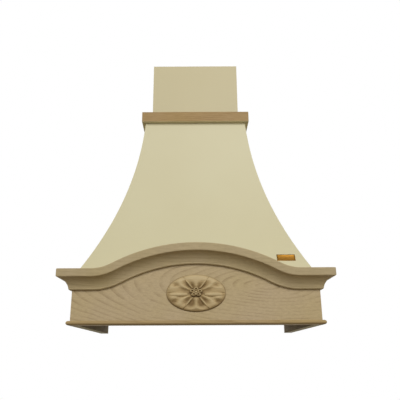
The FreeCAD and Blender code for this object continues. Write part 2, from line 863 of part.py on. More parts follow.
# Grease filters: a frame on two rear pins, a diamond mesh in it, and a sliding latch in its front bar
for name, side in SIDES:
    middle = side * (filter_inner + filter_outer) / 2
    half = filter_width / 2
    latch_low = tray_top + size.latch_rise
    latch_front = -filter_front
    body = new_body(f"{name}_filter_frame")
    outer = rectangle(-half, -filter_front, half, -size.filter_back)
    window = rectangle(-half + size.filter_bar, -filter_front + size.filter_front_bar, half - size.filter_bar,
                       -size.filter_back - size.filter_bar)
    pad(body, "XY", filter_low, [outer, window], size.filter_thickness)
    pin = [circle(-pivot_depth, pivot_level, size.pivot_radius)]
    pad(body, "YZ", half - size.filter_bar / 2, pin, size.filter_bar / 2 + size.pivot_length)
    pad(body, "YZ", -half + size.filter_bar / 2, pin, size.filter_bar / 2 + size.pivot_length, reverse=True)
    slot_half = size.latch_width / 2 + size.latch_gap
    slot = rectangle(-slot_half, latch_low - size.latch_gap, slot_half,
                     latch_low + size.latch_thickness + size.latch_gap)
    pocket(body, "XZ", filter_front - size.latch_slot_depth, [slot], size.latch_slot_depth, reverse=True)
    tab_back = latch_front + size.tab_inset + size.tab_depth
    gate_half = size.tab_width / 2 + size.latch_gap
    gate = rectangle(-gate_half, tab_back - size.tab_depth - size.latch_travel - size.latch_gap,
                     gate_half, tab_back + size.latch_gap)
    pocket(body, "XY", filter_low, [gate], latch_low - filter_low, reverse=True)
    hang(body, f"{name}_filter_frame", x=middle)

    body = new_body(f"{name}_filter_mesh")
    level = filter_low + (size.filter_thickness - size.mesh_thickness) / 2
    pad(body, "XY", level, [window], size.mesh_thickness)
    wide = filter_width - 2 * size.filter_bar
    deep = filter_depth - size.filter_bar - size.filter_front_bar
    across = (wide - size.mesh_web) / size.mesh_columns
    along = (deep - size.mesh_web) / size.mesh_rows
    x = (across + size.mesh_web - wide) / 2
    y = -size.filter_back - size.filter_bar - (along + size.mesh_web) / 2
    reach_x, reach_y = (across - size.mesh_web) / 2, (along - size.mesh_web) / 2
    diamond = [(x - reach_x, y), (x, y - reach_y), (x + reach_x, y), (x, y + reach_y)]
    hole = pocket(body, "XY", level, [diamond])
    lines = []
    for role, count, spacing, reverse in (("X_Axis", size.mesh_columns, across, False),
                                          ("Y_Axis", size.mesh_rows, along, True)):
        line = body.newObject("PartDesign::LinearPattern", f"{body.Name}_line")
        line.Direction = (origin_item(body, role), [""])
        line.Reversed = reverse
        bind(line, "Length", spacing * (count - 1))
        bind(line, "Occurrences", count)
        lines.append(line)
    grid = body.newObject("PartDesign::MultiTransform", f"{body.Name}_grid")
    grid.Originals = [hole]
    grid.Transformations = lines
    body.Tip = grid
    hang(body, f"{name}_filter_mesh", x=middle)

    body = new_body(f"{name}_filter_latch")
    half = size.latch_width / 2
    slide = rectangle(-half, latch_front, half, latch_front + size.latch_depth)
    pad(body, "XY", latch_low, [slide], size.latch_thickness)
    tab = rectangle(-size.tab_width / 2, tab_back - size.tab_depth, size.tab_width / 2, tab_back)
    pad(body, "XY", filter_low - size.tab_drop, [tab], latch_low - filter_low + size.tab_drop)
    hang(body, f"{name}_filter_latch", x=middle)

# Eyes on the tray that hold the filters' pins
eyes = []
for _, side in SIDES:
    for face, outward in ((filter_outer, 1), (filter_inner, -1)):
        near = side * (face + outward * size.eye_gap)
        far = side * (face + outward * (size.eye_gap + size.eye_thickness))
        low, high = (near, far) if side * outward > 0 else (far, near)
        post = box(low, -pivot_depth - size.eye_depth / 2, tray_top, high, -pivot_depth + size.eye_depth / 2,
                   tray_top + size.eye_height)
        start = (low - size.overrun, -pivot_depth, pivot_level)
        hole = rod(start, RIGHT, size.pivot_radius + size.running_gap, size.eye_thickness + 2 * size.overrun)
        eyes.append(cut(post, hole))
hang(group(eyes), "filter_hinges")

# Lamps: a flanged bezel through the tray, a glass lens on its lip and the lamp above the lens
for name, side in SIDES:
    place = {"x": side * lamp_side, "y": -fixture_depth}
    bore = size.lamp_barrel_radius - size.lamp_wall
    body = new_body(f"{name}_lamp_bezel")
    flange = [circle(0, 0, size.lamp_flange_radius), circle(0, 0, size.lamp_window_radius)]
    pad(body, "XY", size.tray_height, flange, size.lamp_flange_thickness, reverse=True)
    pad(body, "XY", size.tray_height, [circle(0, 0, size.lamp_barrel_radius), circle(0, 0, bore)],
        size.lamp_barrel_height)
    hang(body, f"{name}_lamp_bezel", **place)
    body = new_body(f"{name}_lamp_lens")
    pad(body, "XY", size.tray_height, [circle(0, 0, bore)], size.lens_thickness)
    hang(body, f"{name}_lamp_lens", **place)
    body = new_body(f"{name}_lamp_module")
    pad(body, "XY", size.tray_height + size.lens_thickness, [circle(0, 0, bore)], size.lamp_module_height)
    hang(body, f"{name}_lamp_module", **place)

# Push-button unit: a panel under the tray, a casing over it, a switch block and five buttons
panel_y = -fixture_depth
panel_low = size.tray_height - size.panel_thickness
button_names = ("off", "low", "medium", "high", "light")
button_places = [size.button_pitch * (index - len(button_names) // 2) for index in range(len(button_names))]
body = new_body("control_panel")
plate = rectangle(-size.panel_width / 2, panel_y - size.panel_length / 2, size.panel_width / 2,
                  panel_y + size.panel_length / 2)
pad(body, "XY", panel_low, [plate], size.panel_thickness)
half_x = size.button_width / 2 + size.fit_gap
half_y = size.button_length / 2 + size.fit_gap
pocket(body, "XY", panel_low, [rectangle(x - half_x, panel_y - half_y, x + half_x, panel_y + half_y)
                               for x in button_places])
hang(body, "control_panel")

body = new_body("control_box")
casing = rectangle(-size.box_width / 2, panel_y - size.box_length / 2, size.box_width / 2,
                   panel_y + size.box_length / 2)
pad(body, "XY", tray_top, [casing], size.box_height)
wall = size.box_wall
room = rectangle(-size.box_width / 2 + wall, panel_y - size.box_length / 2 + wall, size.box_width / 2 - wall,
                 panel_y + size.box_length / 2 - wall)
pocket(body, "XY", tray_top, [room], size.box_height - wall, reverse=True)
hang(body, "control_box")

collar_low = size.tray_height + size.fit_gap
switch_low = size.tray_height + size.button_room
body = new_body("switch_block")
plan = rectangle(-size.slot_width / 2, panel_y - size.slot_length / 2, size.slot_width / 2,
                 panel_y + size.slot_length / 2)
pad(body, "XY", switch_low, [plan], tray_top + size.box_height - wall - switch_low)
hang(body, "switch_block")
for name, x in zip(button_names, button_places):
    body = new_body(f"{name}_button")
    half_x, half_y = size.button_width / 2, size.button_length / 2
    low = panel_low - size.button_drop
    pad(body, "XY", low, [rectangle(-half_x, -half_y, half_x, half_y)], collar_low - low)
    lip_x, lip_y = half_x + size.button_collar, half_y + size.button_collar
    pad(body, "XY", collar_low, [rectangle(-lip_x, -lip_y, lip_x, lip_y)], size.button_collar_height)
    hang(body, f"{name}_button", x=x, y=panel_y)

# Blower box over the tray, flanged at its foot, with the outlet and the cord hole in its top
body = new_body("plenum_box")
half = plenum_half
thin = size.plenum_gauge
outer = rectangle(-half, -plenum_front, half, -size.plenum_back)
inner = rectangle(-half + thin, -plenum_front + thin, half - thin, -size.plenum_back - thin)
edge = size.plenum_flange
flange = rectangle(-half - edge, -plenum_front - edge, half + edge, -size.plenum_back + edge)
pad(body, "XY", tray_top, [outer], size.plenum_top_height - tray_top)
pocket(body, "XY", tray_top, [inner], size.plenum_top_height - tray_top - thin, reverse=True)
pad(body, "XY", tray_top, [flange, inner], thin)
outlet_depth = size.scroll_depth - (size.scroll_wall + size.scroll_radius + 3 * size.scroll_step) / 2
pocket(body, "XY", size.plenum_top_height, [circle(0, -outlet_depth, size.outlet_radius),
       circle(size.gland_side, -size.gland_depth, size.gland_neck_radius)], size.overrun)
pilots = [circle(place[0], place[1], size.screw_hole_radius) for place in plenum_places]
pocket(body, "XY", tray_top + thin, pilots, size.overrun)
hang(body, "plenum_box")
hang(group([screw(place, DOWN, size.sheet_screw_length) for place in plenum_places]), "plenum_screws")


# Blower casing: a volute of three growing quarter arcs that ends in an outlet up to the box's top

def volute(extra, tongue):
    y, z = -size.scroll_depth, size.scroll_height
    first = size.scroll_radius + extra
    second = first + size.scroll_step
    third = second + size.scroll_step
    top = size.plenum_top_height - size.plenum_gauge
    spiral = [(y, z + first, first, 1), (y - first, z, second, 1), (y - first + second, z - second, third, 1),
              (y - first + second + third, z - second + third), (y - first + second + third, top)]
    inlet_side = [(y + tongue, top)]
    if tongue:
        inlet_side.append((y + tongue, z + first))
    return inlet_side + spiral


for name, side in SIDES:
    body = new_body(f"{name}_scroll")
    wall = size.scroll_wall
    pad(body, "YZ", 0, [volute(wall, 0)], size.scroll_half_width, reverse=side < 0)
    pocket(body, "YZ", 0, [volute(0, wall)], size.scroll_half_width - wall, reverse=side > 0)
    inlet = circle(-size.scroll_depth, size.scroll_height, size.inlet_radius)
    pocket(body, "YZ", side * size.scroll_half_width, [inlet], wall + size.overrun, reverse=side < 0)
    hang(body, f"{name}_scroll")

# Blower wheel: curved blades on both sides of a disc, a ring at each end and a hub on the motor's shaft
axle = {"y": -size.scroll_depth, "z": size.scroll_height}
body = new_body("impeller")
pad(body, "YZ", 0, [circle(0, 0, size.wheel_radius)], size.wheel_disc, symmetric=True)
pad(body, "YZ", -size.hub_left, [circle(0, 0, size.hub_radius)], size.hub_left + size.hub_right)
inner_edge = size.wheel_radius - size.blade_chord
outer_edge = size.wheel_radius - size.blade_thickness / 2
thick = size.blade_thickness
blade = [(inner_edge, 0, size.blade_radius, -1), (outer_edge, size.blade_chord / 2),
         (outer_edge, size.blade_chord / 2 + thick, size.blade_radius + thick, 1), (inner_edge, thick)]
vane = pad(body, "YZ", 0, [blade], 2 * size.wheel_half_width - size.wheel_ring_width, symmetric=True)
around = body.newObject("PartDesign::PolarPattern", "blades")
around.Originals = [vane]
around.Axis = (origin_item(body, "X_Axis"), [""])
around.Angle = 360
body.Tip = around
bind(around, "Occurrences", size.blade_count)
for side in (-1, 1):
    ring = [circle(0, 0, size.wheel_radius), circle(0, 0, inner_edge - size.wheel_ring_lip)]
    pad(body, "YZ", side * size.wheel_half_width, ring, size.wheel_ring_width, reverse=side > 0)
pocket(body, "YZ", 0, [circle(0, 0, size.shaft_radius)])
hang(body, "impeller", **axle)

motor_left = -size.scroll_half_width
motor_right = motor_left + size.motor_length
body = new_body("motor_shaft")
pad(body, "YZ", motor_left + size.shaft_inset, [circle(0, 0, size.shaft_radius)],
    size.hub_right - motor_left - size.shaft_inset)
hang(body, "motor_shaft", **axle)

# Motor with a bearing at each end, on a three-armed spider across the left inlet
body = new_body("motor")
rings = [circle(0, 0, size.motor_radius), circle(0, 0, size.bearing_radius)]
pad(body, "YZ", motor_left, rings, size.motor_length)
hang(body, "motor", **axle)
rings = []
for start in (motor_left + size.bearing_inset, motor_right - size.bearing_inset - size.bearing_width):
    ring = rod((start, 0, 0), RIGHT, size.bearing_radius, size.bearing_width)
    hole = rod((start - size.overrun, 0, 0), RIGHT, size.shaft_radius + size.running_gap,
               size.bearing_width + 2 * size.overrun)
    rings.append(cut(ring, hole))
hang(group(rings), "motor_bearings", **axle)
body = new_body("motor_bracket")
start = motor_left - size.spider_thickness
pad(body, "YZ", start, [circle(0, 0, size.spider_disc_radius)], size.spider_thickness)
plan = rectangle(0, -size.spider_arm_width / 2, size.spider_reach, size.spider_arm_width / 2)
arm = pad(body, "YZ", start, [plan], size.spider_thickness)
around = body.newObject("PartDesign::PolarPattern", "arms")
around.Originals = [arm]
around.Axis = (origin_item(body, "X_Axis"), [""])
around.Angle = 360
body.Tip = around
bind(around, "Occurrences", size.spider_arms)
hang(body, "motor_bracket", **axle)
wall_y = -size.plenum_back - size.plenum_gauge
block = box(size.capacitor_side, wall_y - size.capacitor_depth, size.capacitor_level,
            size.capacitor_side + size.capacitor_width, wall_y, size.capacitor_level + size.capacitor_height)
hang(group([block]), "capacitor")

# Outlet spigot with a seat ring for the flaps and a pin across it
body = new_body("outlet_spigot")
bore = size.spigot_radius - size.spigot_wall
base = size.plenum_top_height
half = size.spigot_flange / 2
pad(body, "XY", base, [rectangle(-half, -half, half, half), circle(0, 0, bore)], size.spigot_flange_thickness)
pad(body, "XY", base, [circle(0, 0, size.spigot_radius), circle(0, 0, bore)], size.spigot_height)
pad(body, "XY", base + size.seat_level, [circle(0, 0, size.spigot_radius - size.spigot_wall / 2),
    circle(0, 0, bore - size.seat_width)], size.seat_thickness)
flap_low = base + size.seat_level + size.seat_thickness + size.fit_gap
pin_level = flap_low + size.flap_pin_rise
pocket(body, "YZ", 0, [circle(0, pin_level, size.flap_pin_radius)])
hang(body, "outlet_spigot", y=-outlet_depth)
body = new_body("flap_pin")
pad(body, "YZ", 0, [circle(0, pin_level, size.flap_pin_radius)], 2 * size.spigot_radius - size.spigot_wall,
    symmetric=True)
hang(body, "flap_pin", y=-outlet_depth)

# Non-return flaps: two half discs on the seat ring, with interleaved knuckles on the pin
flap_radius = bore - size.flap_gap
flap_edge = size.knuckle_radius + size.knuckle_gap
flap_half = root(flap_radius * flap_radius - flap_edge * flap_edge)
for name, side, spots in (("front", -1, FRONT_KNUCKLE_SHARES), ("rear", 1, REAR_KNUCKLE_SHARES)):
    body = new_body(f"{name}_flap")
    plate = [(side * flap_half, side * flap_edge, flap_radius, 1), (-side * flap_half, side * flap_edge)]
    pad(body, "XY", flap_low, [plate], size.flap_thickness)
    for spot in spots:
        start = size.knuckle_length * spot
        length = size.knuckle_length - size.knuckle_gap
        web = rectangle(start, 0, start + length, side * 2 * flap_edge)
        pad(body, "XY", flap_low, [web], size.flap_thickness)
        pad(body, "YZ", start, [circle(0, pin_level, size.knuckle_radius)], length)
    pocket(body, "YZ", 0, [circle(0, pin_level, size.flap_pin_radius + size.running_gap)])
    hang(body, f"{name}_flap", y=-outlet_depth)

# Eye for the supply cord in the blower box's top
body = new_body("mains_gland")
pad(body, "XY", base, [circle(0, 0, size.gland_flange_radius)], size.gland_flange_height)
pad(body, "XY", base, [circle(0, 0, size.gland_neck_radius)], size.gland_neck_length, reverse=True)
pocket(body, "XY", base, [circle(0, 0, size.gland_bore_radius)])
hang(body, "mains_gland", x=size.gland_side, y=-size.gland_depth)

doc.recompute()
for thing in doc.Objects:
    if "Invalid" in thing.State or "Error" in thing.State:
        raise RuntimeError(f"{thing.Label} does not rebuild")
os.makedirs("parts", exist_ok=True)
for thing in nodes:
    if thing.Shape.isNull() or not thing.Shape.isValid():
        raise RuntimeError(f"{thing.Label} has no sound shape")
    thing.Shape.exportStep(f"parts/{thing.Label}.step")
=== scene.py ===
import math

import bmesh
import bpy
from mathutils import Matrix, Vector


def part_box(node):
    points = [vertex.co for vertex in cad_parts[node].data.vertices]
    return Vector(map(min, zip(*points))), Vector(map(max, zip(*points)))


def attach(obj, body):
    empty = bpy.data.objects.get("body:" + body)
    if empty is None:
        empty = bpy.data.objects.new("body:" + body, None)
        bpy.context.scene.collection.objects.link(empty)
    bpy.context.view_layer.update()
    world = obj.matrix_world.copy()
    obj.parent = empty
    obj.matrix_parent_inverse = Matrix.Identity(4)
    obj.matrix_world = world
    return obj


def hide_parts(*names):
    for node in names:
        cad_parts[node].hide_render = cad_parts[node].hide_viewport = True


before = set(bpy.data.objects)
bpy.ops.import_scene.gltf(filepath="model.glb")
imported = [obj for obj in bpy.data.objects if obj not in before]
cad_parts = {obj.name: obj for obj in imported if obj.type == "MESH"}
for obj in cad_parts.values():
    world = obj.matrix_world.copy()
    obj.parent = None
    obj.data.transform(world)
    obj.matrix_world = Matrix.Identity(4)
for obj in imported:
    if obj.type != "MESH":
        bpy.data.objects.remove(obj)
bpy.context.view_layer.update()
bpy.ops.object.select_all(action="DESELECT")


# Skirt boards: three planks of raw beech, planed and sanded, the front one flat-sawn with arched grain.
# They are glued at mitred front corners and stand open below and at the wall. Their inner faces are
# darkened with painted shade, and the bottom edges of the sides are tinted grey with painted shade.

def tone(red, green, blue):
    """A colour given in display steps, as the light value that the shaders work in."""
    def light(step):
        share = step / 255
        return share / 12.92 if share <= 0.04045 else ((share + 0.055) / 1.055) ** 2.4
    return (light(red), light(green), light(blue), 1)


def grey(level):
    return (level, level, level, 1)


def add_node(material, kind, sockets, **settings):
    """A new shader node; each socket gets a constant or the output of another node."""
    made = material.node_tree.nodes.new(f"ShaderNode{kind}")
    for name, value in settings.items():
        setattr(made, name, value)
    for name, value in sockets.items():
        if isinstance(value, bpy.types.NodeSocket):
            material.node_tree.links.new(value, made.inputs[name])
        else:
            made.inputs[name].default_value = value
    return made


def new_finish(name, **sockets):
    """A material whose shader keeps the given sockets, and the object's own coordinates."""
    material = bpy.data.materials.new(name)
    material.use_nodes = True
    shader = material.node_tree.nodes["Principled BSDF"]
    for socket, value in sockets.items():
        shader.inputs[socket.replace("_", " ")].default_value = value
    place = add_node(material, "TexCoord", {}).outputs["Object"]
    return material, shader, place


def feed(material, shader, **sources):
    for socket, source in sources.items():
        material.node_tree.links.new(source, shader.inputs[socket.replace("_", " ")])


def ramp(material, share, stops):
    """Colours along a share from 0 to 1; each stop is a place and a colour."""
    made = add_node(material, "ValToRGB", {"Fac": share})
    elements = made.color_ramp.elements
    while len(elements) < len(stops):
        elements.new(0.5)
    for element, (place, colour) in zip(elements, stops):
        element.position = place
        element.color = colour
    return made.outputs["Color"]


def multiply(material, base, over):
    return add_node(material, "MixRGB", {"Fac": 1.0, "Color1": base, "Color2": over},
                    blend_type="MULTIPLY").outputs["Color"]


def bump(material, height, distance, strength):
    return add_node(material, "Bump", {"Height": height, "Distance": distance,
                                       "Strength": strength}).outputs["Normal"]


def noise(material, place, scale, detail, roughness=0.5):
    return add_node(material, "TexNoise", {"Vector": place, "Scale": scale, "Detail": detail,
                                           "Roughness": roughness}).outputs["Fac"]


def streaks(material, place, scales, detail, roughness=0.5):
    """Noise with a scale of its own along each axis, drawn out where the scale is small."""
    drawn = add_node(material, "Mapping", {"Vector": place, "Scale": scales}).outputs["Vector"]
    return noise(material, drawn, 1.0, detail, roughness)


def sanded_wood(name, pale, dark, along, heart, lean, ring, sheen=0.22):
    """Raw wood: rings about a heart line that leans, in degrees, to the grain; long fibres; short pores."""
    wood, shader, place = new_finish(name, Specular_IOR_Level=sheen)
    log = add_node(wood, "Mapping", {"Vector": place, "Location": heart,
                                     "Rotation": [math.radians(turn) for turn in lean]},
                   vector_type="TEXTURE").outputs["Vector"]
    one_wave_a_ring = math.pi / (10 * ring)
    waver = 15 * ring
    rings = add_node(wood, "TexWave", {"Vector": log, "Scale": one_wave_a_ring, "Distortion": 8.0,
                                       "Detail": 1.0, "Detail Scale": waver},
                     wave_type="RINGS", rings_direction=along, wave_profile="SAW").outputs["Fac"]
    late_wood = ramp(wood, rings, [(0.0, pale), (0.55, pale), (0.95, dark), (0.985, dark), (1.0, pale)])

    def with_the_grain(lengthwise, across):
        return (lengthwise, across, across) if along == "X" else (across, lengthwise, across)

    seasons = streaks(wood, log, with_the_grain(3, 45), 2.0)
    fibres = streaks(wood, log, with_the_grain(14, 330), 3.0, 0.6)
    pores = streaks(wood, log, with_the_grain(56, 1320), 1.0)
    clouds = noise(wood, place, 7.0, 2.0)
    late_share = ramp(wood, seasons, [(0.36, grey(0.05)), (0.66, grey(1.0))])
    colour = add_node(wood, "MixRGB", {"Fac": late_share, "Color1": pale,
                                       "Color2": late_wood}).outputs["Color"]
    for pattern, stops in ((fibres, [(0.3, grey(0.9)), (0.7, grey(1.06))]),
                           (pores, [(0.28, grey(0.86)), (0.4, grey(1.0))]),
                           (clouds, [(0.3, (1.0, 0.975, 0.89, 1)), (0.7, (1.02, 0.995, 1.03, 1))])):
        colour = multiply(wood, colour, ramp(wood, pattern, stops))
    feed(wood, shader, Base_Color=colour,
         Roughness=ramp(wood, fibres, [(0.3, grey(0.72)), (0.7, grey(0.56))]),
         Normal=bump(wood, fibres, 0.00025, 0.6))
    return wood


def reach_along(material, axis):
    """How far a point of the piece lies along one axis."""
    place = add_node(material, "TexCoord", {}).outputs["Object"]
    return add_node(material, "SeparateXYZ", {"Vector": place}).outputs[axis]


def share_past(material, reach, edge, fade):
    """0 at the edge and before it, rising to 1 over the fade."""
    return add_node(material, "MapRange", {"Value": reach, "From Min": edge,
                                           "From Max": edge + fade}).outputs["Result"]


def bare_colour(wood):
    return wood.node_tree.nodes["Principled BSDF"].inputs["Base Color"].links[0].from_socket


def recolour(wood, colour):
    feed(wood, wood.node_tree.nodes["Principled BSDF"], Base_Color=colour)


def tint_with_shade(wood, reach, edge, fade, shade_tint):
    """Tints the wood with painted shade where the reach is short of the edge."""
    tint = ramp(wood, share_past(wood, reach, edge, fade), [(0.0, shade_tint), (1.0, grey(1.0))])
    recolour(wood, multiply(wood, bare_colour(wood), tint))


def clothe(material, *names):
    for name in names:
        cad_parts[name].material_slots[0].material = material


board_pale, board_dark = tone(176, 159, 125), tone(155, 137, 104)
front_wood = sanded_wood("front_board_wood", board_pale, board_dark, "X", (0.235, -0.52, -0.418),
                         (0, 2.5, 15), 0.0105)
side_wood = sanded_wood("side_board_wood", board_pale, board_dark, "Y", (0.0, -0.26, -0.62),
                        (3, 0, 4), 0.012, sheen=0.03)
# Painted shade: the boards' inner faces are coloured dark, and the sides' bottom edges grey.
inner_shade, edge_shade = (0.36, 0.35, 0.32, 1), (1.05, 1.3, 1.75, 1)
shade_skin = 0.0004
for board_wood, axis, inner_face in ((front_wood, "Y", -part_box("front_board")[1].y),
                                     (side_wood, "X", -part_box("left_side_board")[1].x)):
    from_middle = add_node(board_wood, "Math", {0: reach_along(board_wood, axis)}, operation="ABSOLUTE")
    tint_with_shade(board_wood, from_middle.outputs[0], inner_face + shade_skin, 0.0005, inner_shade)
side_board_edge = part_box("left_side_board")[0].z + 0.0002
tint_with_shade(side_wood, reach_along(side_wood, "Z"), side_board_edge, 0.0006, edge_shade)
clothe(front_wood, "front_board")
clothe(side_wood, "left_side_board", "right_side_board")


# Crown moulding: the front length is cut to follow the arch and moulded with a fascia, a cove and a
# small foot; the two side lengths meet it in mitres. Raw wood, sanded, glued and pinned to the boards.
crown_pale, crown_dark, crown_ring = tone(167, 152, 117), tone(156, 141, 106), 0.013
front_crown_wood = sanded_wood("front_crown_wood", crown_pale, crown_dark, "X", (0.05, -0.50, -0.75),
                               (0, 1.5, 5), crown_ring)
side_crown_wood = sanded_wood("side_crown_wood", crown_pale, crown_dark, "Y", (0.1, -0.3, -0.75),
                              (2, 0, 3), crown_ring)
clothe(front_crown_wood, "front_crown")
clothe(side_crown_wood, "left_crown", "right_crown")


# Bead: a half-round strip of closer-ringed, darker wood along the bottom edge, mitred at the corners and
# glued to the boards. Painted shade tints its underside, fading up the round, and greys the side lengths.
bead_ring = 0.007
front_bead_wood = sanded_wood("front_bead_wood", tone(159, 138, 97), tone(139, 117, 78), "X",
                              (0.0, -0.45, -0.60), (0, 0.6, 2), bead_ring)
# The side lengths get a greyer tone than the front one: painted shade for their side-facing ends.
side_bead_wood = sanded_wood("side_bead_wood", tone(152, 137, 106), tone(134, 118, 87), "Y",
                             (0.3, -0.2, -0.60), (0.6, 0, 2), bead_ring)
# Painted shade: the underside is tinted, grey on the side lengths and dark on the front one.
bead_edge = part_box("front_bead")[0].z + 0.001
for bead_wood, fade, shade_tint in ((side_bead_wood, 0.004, (0.75, 0.9, 1.12, 1)),
                              (front_bead_wood, 0.005, (0.5, 0.5, 0.48, 1))):
    tint_with_shade(bead_wood, reach_along(bead_wood, "Z"), bead_edge, fade, shade_tint)
clothe(front_bead_wood, "front_bead")
clothe(side_bead_wood, "left_bead", "right_bead")


# Corner blocks: two square glue blocks of the same wood in the front corners, sawn and not sanded.
# They carry the front edge of the canopy.
block_wood = sanded_wood("corner_block_wood", tone(182, 160, 120), tone(150, 126, 86), "X",
                         (0.0, -0.5, -0.45), (0, 88, 0), 0.004)
clothe(block_wood, "corner_blocks")


# Oval rosette: carved from one piece of wood and glued on the front board. A reed at each side, four ribs,
# six hollowed leaves between them and a five-lobed flower lie on an oval ground with a rounded rim.

def call_it(piece, name):
    piece.name = name
    piece.data.name = name


def begin(add, name, **settings):
    bpy.ops.object.select_all(action="DESELECT")
    add(**settings)
    piece = bpy.context.object
    call_it(piece, name)
    return piece


def select_only(*pieces):
    bpy.ops.object.select_all(action="DESELECT")
    for piece in pieces:
        piece.select_set(True)
    bpy.context.view_layer.objects.active = pieces[0]


def pick_points(piece, test):
    """Selects, in edit mode, only the points whose place passes the test."""
    shape = bmesh.from_edit_mesh(piece.data)
    for face in shape.faces:
        face.select = False
    for edge in shape.edges:
        edge.select = False
    for point in shape.verts:
        point.select = test(point.co)
    shape.select_flush_mode()
    bmesh.update_edit_mesh(piece.data)


def apply_modifier(piece, kind, **settings):
    modifier = piece.modifiers.new(kind.lower(), kind)
    for name, value in settings.items():
        setattr(modifier, name, value)
    bpy.context.view_layer.objects.active = piece
    bpy.ops.object.modifier_apply(modifier=modifier.name)


def copy_piece(piece, name):
    twin = piece.copy()
    twin.data = piece.data.copy()
    call_it(twin, name)
    bpy.context.scene.collection.objects.link(twin)
    return twin


def join_pieces(pieces, name):
    select_only(*pieces)
    bpy.ops.object.join()
    call_it(pieces[0], name)
    return pieces[0]


def settle(piece):
    """Puts the piece's place, turn and size into its mesh."""
    select_only(piece)
    bpy.ops.object.transform_apply(location=True, rotation=True, scale=True)


def smooth(piece, degrees):
    select_only(piece)
    bpy.ops.object.shade_smooth_by_angle(angle=math.radians(degrees))


rosette_low, rosette_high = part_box("medallion")
rosette_centre = (rosette_low + rosette_high) / 2
rosette_radius = (rosette_high.x - rosette_low.x) / 2
oval_share = (rosette_high.z - rosette_low.z) / (rosette_high.x - rosette_low.x)

# Each row: reach from the middle, then levels across. A side leaf's levels run from the reed to the rib;
# the others run from the middle line to one edge, and both of their sides are alike.
SIDE_LEAF_ROWS = ((0.0200, (0.0030, 0.0030, 0.0030, 0.0030, 0.0030, 0.0030, 0.0030, 0.0030, 0.0030)),
                  (0.0300, (0.0066, 0.0050, 0.0050, 0.0054, 0.0086, 0.0096, 0.0060, 0.0034, 0.0060)),
                  (0.0400, (0.0066, 0.0044, 0.0042, 0.0044, 0.0098, 0.0120, 0.0046, 0.0012, 0.0060)),
                  (0.0520, (0.0074, 0.0060, 0.0056, 0.0046, 0.0110, 0.0130, 0.0056, 0.0012, 0.0060)),
                  (0.0640, (0.0080, 0.0078, 0.0086, 0.0080, 0.0088, 0.0128, 0.0092, 0.0032, 0.0060)),
                  (0.0740, (0.0080, 0.0086, 0.0110, 0.0116, 0.0024, 0.0112, 0.0116, 0.0076, 0.0076)),
                  (0.0820, (0.0074, 0.0082, 0.0110, 0.0112, -0.0016, 0.0086, 0.0112, 0.0090, 0.0082)),
                  (0.0880, (0.0060, 0.0066, 0.0096, 0.0090, 0.0000, 0.0070, 0.0096, 0.0082, 0.0074)),
                  (0.0930, (0.0036, 0.0040, 0.0062, 0.0054, 0.0026, 0.0044, 0.0060, 0.0054, 0.0050)),
                  (0.0960, (0.0026, 0.0026, 0.0026, 0.0026, 0.0026, 0.0026, 0.0026, 0.0026, 0.0026)))
TOP_LEAF_ROWS = ((0.0200, (0.0030, 0.0030, 0.0030, 0.0030, 0.0030)),
                 (0.0320, (0.0096, 0.0078, 0.0036, 0.0022, 0.0062)),
                 (0.0420, (0.0108, 0.0084, 0.0028, 0.0014, 0.0072)),
                 (0.0520, (0.0114, 0.0102, 0.0064, 0.0044, 0.0082)),
                 (0.0620, (0.0112, 0.0110, 0.0100, 0.0090, 0.0088)),
                 (0.0740, (0.0106, 0.0104, 0.0104, 0.0100, 0.0090)),
                 (0.0840, (0.0094, 0.0090, 0.0094, 0.0086, 0.0078)),
                 (0.0930, (0.0066, 0.0060, 0.0064, 0.0056, 0.0050)),
                 (0.0968, (0.0030, 0.0030, 0.0030, 0.0030, 0.0030)))
LOW_LEAF_ROWS = ((0.0200, (0.0030, 0.0030, 0.0030, 0.0030, 0.0030)),
                 (0.0320, (0.0120, 0.0100, 0.0066, 0.0044, 0.0068)),
                 (0.0420, (0.0112, 0.0060, 0.0018, 0.0012, 0.0072)),
                 (0.0540, (0.0108, 0.0046, 0.0008, 0.0006, 0.0082)),
                 (0.0650, (0.0096, 0.0040, 0.0010, 0.0012, 0.0080)),
                 (0.0740, (0.0120, 0.0058, 0.0050, 0.0054, 0.0070)),
                 (0.0820, (0.0074, 0.0124, 0.0052, 0.0066, 0.0060)),
                 (0.0890, (0.0040, 0.0086, 0.0092, 0.0060, 0.0050)),
                 (0.0968, (0.0030, 0.0036, 0.0034, 0.0030, 0.0030)))
REED_ROWS = ((0.0270, (0.0090, 0.0084, 0.0064, 0.0024)),
             (0.0360, (0.0114, 0.0106, 0.0080, 0.0024)),
             (0.0500, (0.0130, 0.0121, 0.0090, 0.0024)),
             (0.0640, (0.0130, 0.0121, 0.0090, 0.0024)),
             (0.0780, (0.0120, 0.0111, 0.0084, 0.0024)),
             (0.0870, (0.0094, 0.0087, 0.0068, 0.0024)),
             (0.0915, (0.0046, 0.0044, 0.0038, 0.0024)))
RIB_ROWS = ((0.0240, (0.0066, 0.0062, 0.0050, 0.0024)),
            (0.0360, (0.0100, 0.0094, 0.0072, 0.0024)),
            (0.0500, (0.0120, 0.0112, 0.0084, 0.0024)),
            (0.0640, (0.0118, 0.0110, 0.0082, 0.0024)),
            (0.0740, (0.0100, 0.0094, 0.0070, 0.0024)),
            (0.0820, (0.0072, 0.0068, 0.0054, 0.0024)),
            (0.0880, (0.0046, 0.0044, 0.0040, 0.0024)))
reed_widths = (0.0095, 0.0140, 0.0165, 0.0172, 0.0160, 0.0120, 0.0050)
rib_widths = (0.0034, 0.0044, 0.0050, 0.0052, 0.0048, 0.0038, 0.0018)
rib_turn = math.radians(63)
reed_drop = 0.009
leaf_thickness = 0.002


def both_sides(rows):
    return [(reach, levels[:0:-1] + levels) for reach, levels in rows]


def arc_widths(rows, turn):
    return [reach * turn for reach, levels in rows]


